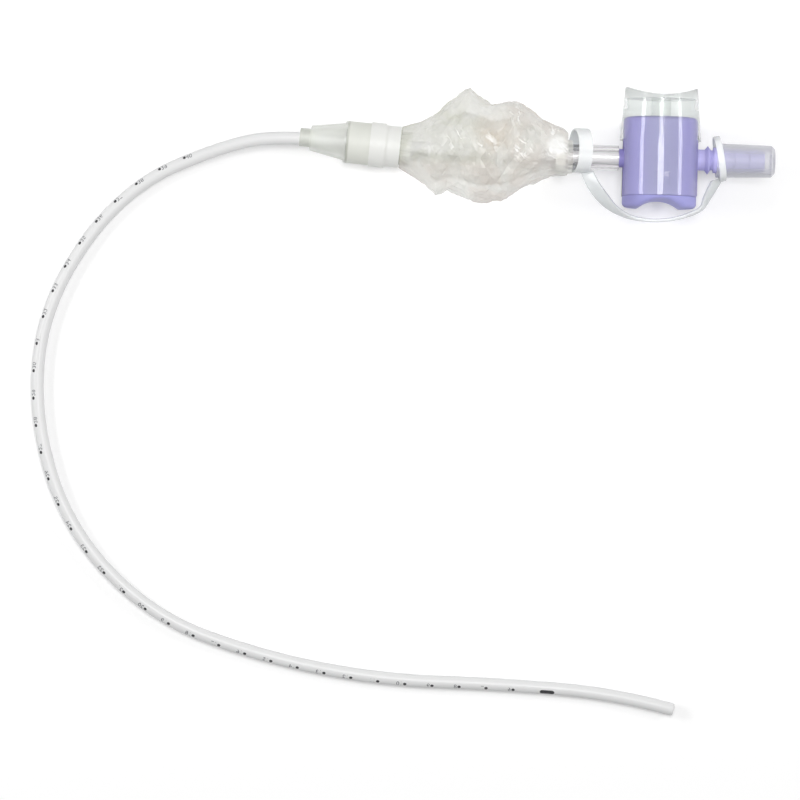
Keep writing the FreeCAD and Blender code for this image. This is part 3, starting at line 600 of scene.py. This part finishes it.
ink = inkFinish("printedInk", tone(30, 30, 33), tone(58, 58, 62))
route = routeCurve("catheterRoute")
catheterPath = Path(pointsOf(route))
bpy.data.objects.remove(route)
makeCatheter(catheterPath, catheterFinish())
makeDots(catheterPath, ink)
makeNumbers(catheterPath, inkFinish("fadedInk", tone(92, 93, 98), tone(150, 151, 155)))
makeBar(catheterPath, ink)
print(f"stage: catheter, {catheterPath.length:.4f} m along its line")


# the bunched film sleeve

sleevePlan = {
    "start": 0.0339,                   # near face from the valve axis
    "crumple": 0.00009,                # push of the points between the solid's own
    "pleats": 19,
    "pleatDepth": 0.0002,
    "neck": 0.02,                      # share of the length, at each end, that isn't crumpled
    "neckFade": 0.1,
    "lowest": 0.0003,
    "seed": 11,
    "frillEnd": 0.0321,                # loose edge of film on the stem, from the valve axis
    "frillReach": 0.0061,
    "frillTaper": 0.0005,
    "frillWave": 0.00035,
    "frillSteps": 4,
    "frillAround": 114,
}


def sleeveSheets():
    # the outer skins of the solid's film, each as a single sheet
    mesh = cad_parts["sleeve"].data.copy()
    mesh.name = "sleeveFilm"
    start = valveSpot + Vector((-sleevePlan["start"], 0, 0))
    work = bmesh.new()
    work.from_mesh(mesh)
    bmesh.ops.remove_doubles(work, verts=work.verts, dist=1e-6)
    work.normal_update()
    inside = []
    for face in work.faces:
        middle = face.calc_center_median()
        share = (middle.x - start.x) / (fittingSpot.x - start.x)
        ray = middle - start.lerp(fittingSpot, share)
        ray.x = 0
        atEnd = face.normal.x > 0.9 if share < 0.05 else face.normal.x < -0.9 and share > 0.97
        if face.normal.dot(ray.normalized()) < 0.02 and not atEnd:
            inside.append(face)
    bmesh.ops.delete(work, geom=inside, context="FACES")
    return mesh, work, start


def makeFilm(material):
    # every edge is split and its new point pushed in or out, which leaves small creases
    mesh, work, start = sleeveSheets()
    dice = random.Random(sleevePlan["seed"])
    bmesh.ops.triangulate(work, faces=work.faces)
    length = start.x - fittingSpot.x

    def held(spot):
        fromEnd = min(start.x - spot.x, spot.x - fittingSpot.x) / length
        return min(1.0, max(0.0, (fromEnd - sleevePlan["neck"]) / sleevePlan["neckFade"]))

    old = set(work.verts)
    bmesh.ops.subdivide_edges(work, edges=work.edges, cuts=1, use_grid_fill=True)
    work.normal_update()
    for vertex in work.verts:
        if vertex not in old:
            vertex.co += vertex.normal * dice.gauss(0, 1) * sleevePlan["crumple"] * held(vertex.co)
    for vertex in work.verts:
        share = (start.x - vertex.co.x) / length
        if 0.0 < share < 1.0:
            middle = start.lerp(fittingSpot, share)
            turn = math.atan2(vertex.co.z - middle.z, vertex.co.y - middle.y)
            gather = (1 - held(vertex.co)) * sleevePlan["pleatDepth"]
            vertex.co += vertex.normal * gather * math.sin(sleevePlan["pleats"] * turn + 7 * share)
        vertex.co.z = max(vertex.co.z, sleevePlan["lowest"])
    frill = []
    for step in range(sleevePlan["frillSteps"] + 1):
        share = step / sleevePlan["frillSteps"]
        centre = start + Vector(((sleevePlan["start"] - sleevePlan["frillEnd"]) * share, 0, 0))
        ring = []
        for index in range(sleevePlan["frillAround"]):
            angle = 2 * math.pi * index / sleevePlan["frillAround"]
            wave = math.sin(sleevePlan["pleats"] * angle) * sleevePlan["frillWave"] * (0.4 + share)
            reach = sleevePlan["frillReach"] - sleevePlan["frillTaper"] * share + wave
            ring.append(centre + Vector((0, math.cos(angle), math.sin(angle))) * reach)
        frill.append(ring)
    work.from_mesh(meshOfRings("frill", frill))
    work.to_mesh(mesh)
    work.free()
    piece = newPiece("sleeveFilm", smoothed(mesh, smooth=False), material)
    piece.visible_shadow = False
    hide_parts("sleeve")
    return piece


# middles of the film's coloured places and of its painted highlights, seen from above
filmSpots = {
    "brown": (-0.0157, 0.0056),
    "pale": (0.0072, 0.0021),
    "glints": [(-0.0292, 0.0031), (-0.0182, 0.0019), (-0.007, 0.0128), (-0.006, 0.0004), (0.006, 0.006)],
}


def filmFinish():
    look = Finish("crumpledFilm", Roughness=0.2, IOR=1.48, Specular_IOR_Level=0.5)
    seen = look.node("ShaderNodeVectorMath", {"operation": "MULTIPLY"}, {0: look.place(), 1: (1, 1, 0)})

    def spot(centre, reach, soft):
        away = look.node("ShaderNodeVectorMath", {"operation": "DISTANCE"},
                         {0: seen, 1: (*centre, 0)}, out="Value")
        return look.between(away, reach, reach + soft, 1.0, 0.0)

    patches = look.noise(95, detail=3, distortion=0.5)
    streaks = look.noise(240, detail=2, distortion=0.4)
    edge = look.facing()
    # greenish near the fitting, warmer towards the valve and along the near side
    warm = look.larger(look.between(look.axis("X"), -0.035, 0.0),
                       look.between(look.axis("Y"), -0.002, -0.007))
    tinted = look.blendColours(warm, tone(204, 205, 194), tone(213, 207, 200))
    colour = look.blendColours(look.between(patches, 0.38, 0.62), tone(221, 221, 216), tinted)
    brown = spot(filmSpots["brown"], 0.002, 0.008) * look.between(patches, 0.35, 0.6, 0.2, 0.55)
    colour = look.blendColours(brown, colour, tone(206, 193, 177))
    # the pattern runs along one diagonal, so that the painted glints are short strokes
    diagonal = look.node("ShaderNodeVectorMath", {"operation": "DOT_PRODUCT"},
                         {0: look.place(), 1: (1 / 3, 1 / 3, 1 / 3)}, out="Value")
    glintStrokes = look.node("ShaderNodeTexVoronoi", {"feature": "DISTANCE_TO_EDGE"},
                       {"Vector": diagonal + streaks * 0.0012, "Scale": 340.0}, out="Distance")
    # painted glints: white strokes along cell edges, gathered round the listed spots
    clusters = spot(filmSpots["pale"], 0.002, 0.004) * 1.2
    for centre in filmSpots["glints"]:
        clusters = look.larger(clusters, spot(centre, 0.001, 0.0045))
    paintedGlints = look.between(glintStrokes, 0.02, 0.1, 1.0, 0.0) * clusters * look.between(streaks, 0.45, 0.55)
    # painted highlight: a pale patch near the stem end, which with the glints turns the film white and more
    # opaque
    pale = spot(filmSpots["pale"], 0.0022, 0.0028) * look.between(patches, 0.3, 0.5, 0.5, 1.0)
    white = look.larger(pale, paintedGlints)
    look.drive(Base_Color=look.blendColours(white, colour, tone(252, 252, 250)))
    haze = look.between(patches, 0.35, 0.65, 0.46, 0.54)
    haze = haze + (1 - haze) * (edge ** 2.0) * 0.3
    look.drive(Alpha=haze + (1 - haze) * white * 0.8)
    look.drive(Roughness=0.14 + patches * 0.16)
    look.drive(Normal=look.bump(patches * 1.5 + streaks * 0.35, 0.6, 0.0016))
    return look.material


film = makeFilm(filmFinish())
print("stage: film sleeve,", len(film.data.polygons), "faces")


# the soft strap between the stem and the connector cap

strapPlan = {
    "drop": 0.0231,
    "thickness": 0.0012,
    "width": 0.0046,
    "stemRing": {"x": -0.0292, "y": 0.00235, "bore": 0.0073, "wall": 0.0009, "half": 0.0026,
                 "axis": "Y", "tilt": 13.0},
    "capRing": {"x": 0.0218, "y": 0.0006, "bore": 0.0075, "wall": 0.0009, "half": 0.0012,
                "axis": "Z", "tilt": 10.0},
    "bandSteps": 12,        # between two points of its line
    "ringSteps": 96,
    "bendFrom": -0.02,      # from the valve axis, the part that bends when the cap comes off
    "bendTo": 0.0185,
}
# outer edge seen from above: share of the way between the rings, share of the drop, twist in degrees
strapLine = [
    (-0.006, 0.19, 90), (0.057, 0.48, 80), (0.140, 0.71, 60), (0.235, 0.86, 28), (0.357, 0.96, 8),
    (0.501, 1.00, 0), (0.655, 0.98, 0), (0.785, 0.91, 6), (0.890, 0.80, 12), (0.951, 0.61, 32),
    (1.045, 0.25, 50),
]


def strapSpots():
    # a smooth line through the strap's outer edge, with its twist as a third coordinate
    first, last = strapPlan["stemRing"]["x"], strapPlan["capRing"]["x"]
    knots = [Vector((first + way * (last - first), -share * strapPlan["drop"], math.radians(twist)))
             for way, share, twist in strapLine]
    knots = [2 * knots[0] - knots[1]] + knots + [2 * knots[-1] - knots[-2]]
    spots = []
    for a, b, c, d in zip(knots, knots[1:], knots[2:], knots[3:]):
        for step in range(strapPlan["bandSteps"]):
            t = step / strapPlan["bandSteps"]
            spots.append(0.5 * ((2 * b) + (c - a) * t + (2 * a - 5 * b + 4 * c - d) * t * t
                                + (3 * b - a - 3 * c + d) * t * t * t))
    spots.append(knots[-2])
    return spots


def roundedSection(width, thickness, corner=0.0003, steps=4):
    # corner points of a band's section, going round once
    section = []
    for turn, (y, z) in enumerate(((1, 1), (-1, 1), (-1, -1), (1, -1))):
        for step in range(steps):
            angle = math.pi / 2 * (turn + step / (steps - 1))
            section.append((y * (thickness / 2 - corner) + corner * math.cos(angle),
                            z * (width / 2 - corner) + corner * math.sin(angle)))
    return section


def outOfBores(spot, rings):
    # a point of the band that would reach into a ring's bore is put back into the ring's wall
    for middle, turn, plan in rings:
        local = turn.inverted() @ (spot - middle)
        reach = math.hypot(local.y, local.z)
        least = plan["bore"] + 0.0002
        if abs(local.x) < plan["bore"] and reach < least:
            local.y, local.z = local.y * least / reach, local.z * least / reach
            spot = middle + turn @ local
    return spot


def makeStrap(material):
    rings = []
    for plan in (strapPlan["stemRing"], strapPlan["capRing"]):
        turn = Matrix.Rotation(math.radians(plan["tilt"]), 3, plan["axis"])
        rings.append((valveSpot + Vector((plan["x"], plan["y"], 0)), turn, plan))
    parts = bmesh.new()
    spots = strapSpots()
    halfWide, halfThick = strapPlan["width"] / 2, strapPlan["thickness"] / 2
    section = roundedSection(strapPlan["width"], strapPlan["thickness"])
    loops = []
    for index, spot in enumerate(spots):
        before, after = spots[max(index - 1, 0)], spots[min(index + 1, len(spots) - 1)]
        inward = Vector((before.y - after.y, after.x - before.x, 0)).normalized()
        up, twist = Vector((0, 0, 1)), spot.z
        wide = up * math.cos(twist) + inward * math.sin(twist)
        thick = inward * math.cos(twist) - up * math.sin(twist)
        reach = halfWide * math.sin(twist) + halfThick * math.cos(twist)
        centre = Vector((spot.x, spot.y, 0)) + inward * reach
        loops.append([outOfBores(valveSpot + centre + thick * a + wide * b, rings) for a, b in section])
    band = meshOfRings("band", loops)
    bandWork = bmesh.new()
    bandWork.from_mesh(band)
    bmesh.ops.holes_fill(bandWork, edges=[edge for edge in bandWork.edges if edge.is_boundary])
    bandWork.to_mesh(band)
    bandWork.free()
    parts.from_mesh(band)
    for middle, turn, plan in rings:
        radius = plan["bore"] + plan["wall"] / 2
        profile = roundedSection(2 * plan["half"], plan["wall"])
        loops = []
        for index in range(strapPlan["ringSteps"]):
            angle = 2 * math.pi * index / strapPlan["ringSteps"]
            away = Vector((0, math.cos(angle), math.sin(angle)))
            loops.append([middle + turn @ (away * (radius + a) + Vector((b, 0, 0))) for a, b in profile])
        parts.from_mesh(meshOfRings("ring", loops, closedEnds=True))
    bmesh.ops.recalc_face_normals(parts, faces=parts.faces)
    mesh = bpy.data.meshes.new("tetherStrap")
    parts.to_mesh(mesh)
    parts.free()
    strap = newPiece("tetherStrap", smoothed(mesh), material, body=None)
    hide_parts("tether_strap")
    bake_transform(strap)


def strapFinish():
    look = Finish("softClearVinyl", Roughness=0.22, IOR=1.48, Specular_IOR_Level=0.6)
    edge = look.facing()
    cloud = look.noise(300, detail=3)
    # painted light and shade: higher up, on the hoop round the stem, the strap is painted near white, while
    # the low band is painted grey and a touch deeper towards its outline
    paintedLightHigh = look.between(look.axis("Z"), 0.013, 0.021)
    band = look.blendColours(edge, tone(208, 212, 213), tone(202, 207, 209))
    look.drive(Base_Color=look.blendColours(paintedLightHigh, band, tone(250, 252, 252)))
    look.drive(Alpha=look.between(edge, 0.0, 1.0, 0.62, 0.88))
    look.drive(Roughness=0.16 + cloud * 0.12)
    look.drive(Normal=look.bump(look.noise(700, detail=2), 0.1, 0.0001))
    look.letLightThrough(0.97)
    return look.material


makeStrap(strapFinish())


# the return spring, which in the valve shortens as the thumb cap goes down; here a fixed copy of the part's
# coil

def makeSpring(material):
    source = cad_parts["return_spring"]
    mesh = source.data.copy()
    mesh.name = "springCoil"
    work = bmesh.new()
    work.from_mesh(mesh)
    bmesh.ops.remove_doubles(work, verts=work.verts, dist=1e-6)
    work.to_mesh(mesh)
    work.free()
    spring = newPiece("springCoil", smoothed(mesh), material, body=None)
    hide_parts("return_spring")
    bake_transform(spring)


def steelFinish():
    look = Finish("springWire", Metallic=1.0, Roughness=0.3)
    grain = look.noise(1500, detail=3)
    look.drive(Base_Color=look.blendColours(grain, tone(200, 202, 205), tone(160, 163, 168)))
    look.drive(Roughness=0.22 + grain * 0.2)
    return look.material


makeSpring(steelFinish())
print("stage: strap and spring")


# finishes of the moulded pieces

valvePlan = {
    "capEdge": -0.0151,     # along Y, the clear cap's edge on the body, where a painted shadow line runs
    "footPale": -0.008,     # from the valve axis, where the foot turns paler
    "neck": 0.0587,         # along X, where the thin connector starts
    "capMouth": 0.067,      # along X, from where the connector lies under its cap
    "capRoof": 0.0042,      # thickness of the thumb cap's closed end, to its highest point
}


def lavenderFinish():
    look = Finish("lavenderPlastic", Roughness=0.5, IOR=1.45, Specular_IOR_Level=0.35)
    cloud = look.noise(45, detail=3)
    fine = look.noise(1600, detail=2)
    across, along = look.axis("X"), look.axis("Y")
    edge, neck, mouth = valvePlan["capEdge"], valvePlan["neck"], valvePlan["capMouth"]
    pale = valveSpot.x + valvePlan["footPale"]
    # painted shade under the clear cap, where the body is painted deeper and greyest along its middle, with a
    # painted shadow line along the cap's edge, and painted light on the thin connector, which is painted
    # paler but less so where it lies under its cap
    # painted shade: deeper, greyer lavender round the valve axis under the clear cap
    middle = look.near(across, valveSpot.x, 0.004, 0.005)
    under = look.blendColours(middle, tone(134, 127, 185), tone(132, 129, 166))
    right = look.between(across, pale - 0.004, pale + 0.004)
    foot = look.blendColours(right, tone(152, 150, 205), tone(174, 173, 234))
    colour = look.blendColours(look.between(along, edge - 0.0003, edge + 0.0003), foot, under)
    # painted shadow: a fine dark line just below the clear cap's edge
    line = look.near(along, edge - 0.00005, 0.0001, 0.00015)
    colour = look.blendColours(line * 0.7, colour, tone(92, 88, 134))
    # painted light: the thin connector is painted paler, less so under its cap
    paintedLightNeck = look.between(across, neck - 0.0012, neck + 0.0011)
    covered = look.between(across, mouth - 0.001, mouth + 0.001)
    colour = look.blendColours(paintedLightNeck, colour, tone(203, 199, 245))
    colour = look.blendColours(covered, colour, tone(186, 184, 223))
    look.drive(Base_Color=look.blendColours(cloud * 0.3, colour, tone(146, 142, 196)))
    look.drive(Roughness=0.46 + fine * 0.14)
    look.drive(Normal=look.bump(fine, 0.06, 0.00008))
    return look.material


def clearFinish(name, tint, edgeTint, ior, rough=0.02, roof=None):
    look = Finish(name, IOR=ior, Transmission_Weight=1.0, Specular_IOR_Level=0.5)
    swirl = look.noise(220, detail=3)
    colour = look.blendColours(look.facing() ** 3.0, tint, edgeTint)
    look.drive(Roughness=rough + swirl * 0.03)
    look.drive(Normal=look.bump(swirl, 0.05, 0.0001))
    if roof is None:
        look.drive(Base_Color=colour)
        look.letLightThrough(0.93)
        return look.material
    # a thick end reads deeper and a little milky
    thick = look.between(look.axis("Y"), roof - 0.0002, roof + 0.0002)
    look.drive(Base_Color=look.blendColours(thick, colour, tone(222, 224, 223)))
    milk = look.node("ShaderNodeBsdfPrincipled", {}, {"Base Color": tone(222, 225, 224), "Roughness": 0.3})
    look.letLightThrough(0.93, look.mixed(0.04 + thick * 0.4, look.surface, milk))
    return look.material


def plainFinish(name, colour, other, rough, grain=900, alpha=None):
    look = Finish(name, Roughness=rough, IOR=1.48)
    cloud = look.noise(120, detail=3)
    look.drive(Base_Color=look.blendColours(cloud, colour, other))
    look.drive(Roughness=rough + cloud * 0.12)
    look.drive(Normal=look.bump(look.noise(grain, detail=3), 0.12, 0.0001))
    if alpha:
        look.drive(Alpha=look.between(look.facing(), 0.0, 1.0, alpha, 0.97))
        look.letLightThrough(0.97)
    return look.material


fittingJoint = 0.0194       # from the film's end along the fitting's axis


def fittingFinish(name, colour, other, rough, grain=900, alpha=None):
    # the joint between collar and cone shows as a dark line round the fitting
    look = Finish(name, Roughness=rough, IOR=1.48)
    cloud = look.noise(150, detail=3)
    axis = fittingTurn @ Vector((-1, 0, 0))
    along = look.node("ShaderNodeVectorMath", {"operation": "DOT_PRODUCT"},
                      {0: look.place(), 1: axis}, out="Value")
    joint = look.near(along, fittingSpot.dot(axis) + fittingJoint, 0.0001, 0.0006)
    body = look.blendColours(cloud, colour, other)
    patchy = joint * look.between(cloud, 0.35, 0.6, 0.25, 0.85)
    look.drive(Base_Color=look.blendColours(patchy, body, tone(172, 174, 164)))
    look.drive(Roughness=rough + cloud * 0.12)
    look.drive(Normal=look.bump(look.noise(grain, detail=3), 0.12, 0.0001))
    if alpha:
        see = look.between(look.facing(), 0.0, 1.0, alpha, 0.95)
        look.drive(Alpha=look.larger(see, joint * 0.5))
        look.letLightThrough(0.97)
    return look.material


def dress(material, *nodes):
    for node in nodes:
        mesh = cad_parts[node].data
        mesh.materials.clear()
        mesh.materials.append(material)


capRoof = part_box("thumb_cap")[1].y - valvePlan["capRoof"]
dress(lavenderFinish(), "valve_body")
dress(clearFinish("clearCap", tone(235, 237, 236), tone(212, 215, 216), ior=1.3, roof=capRoof), "thumb_cap")
dress(plainFinish("milkyCap", tone(216, 216, 222), tone(206, 207, 215), 0.2, alpha=0.3), "connector_cap")
dress(clearFinish("clearStem", tone(226, 225, 226), tone(190, 189, 192), ior=1.33, rough=0.06), "stem_tube")
dress(fittingFinish("hazyCone", tone(236, 238, 233), tone(226, 228, 222), 0.25, alpha=0.36), "cone_adapter")
dress(plainFinish("hazyRing", tone(216, 218, 211), tone(205, 207, 200), 0.3, alpha=0.6), "nozzle_ring")
dress(plainFinish("whiteRing", tone(239, 239, 236), tone(230, 231, 227), 0.35),
      "distal_clamp_ring", "proximal_clamp_ring")
dress(fittingFinish("frostedCollar", tone(230, 231, 224), tone(218, 220, 212), 0.42, grain=1500),
      "seal_collar")
dress(plainFinish("wiperSilicone", tone(226, 226, 222), tone(214, 214, 210), 0.5), "wiper_seal")
dress(plainFinish("plungerWhite", tone(238, 238, 240), tone(228, 228, 232), 0.35), "plunger")
dress(plainFinish("sealRubber", tone(52, 52, 54), tone(38, 38, 40), 0.55), "upper_o_ring", "lower_o_ring")
print("stage: finishes")

bpy.context.view_layer.update()
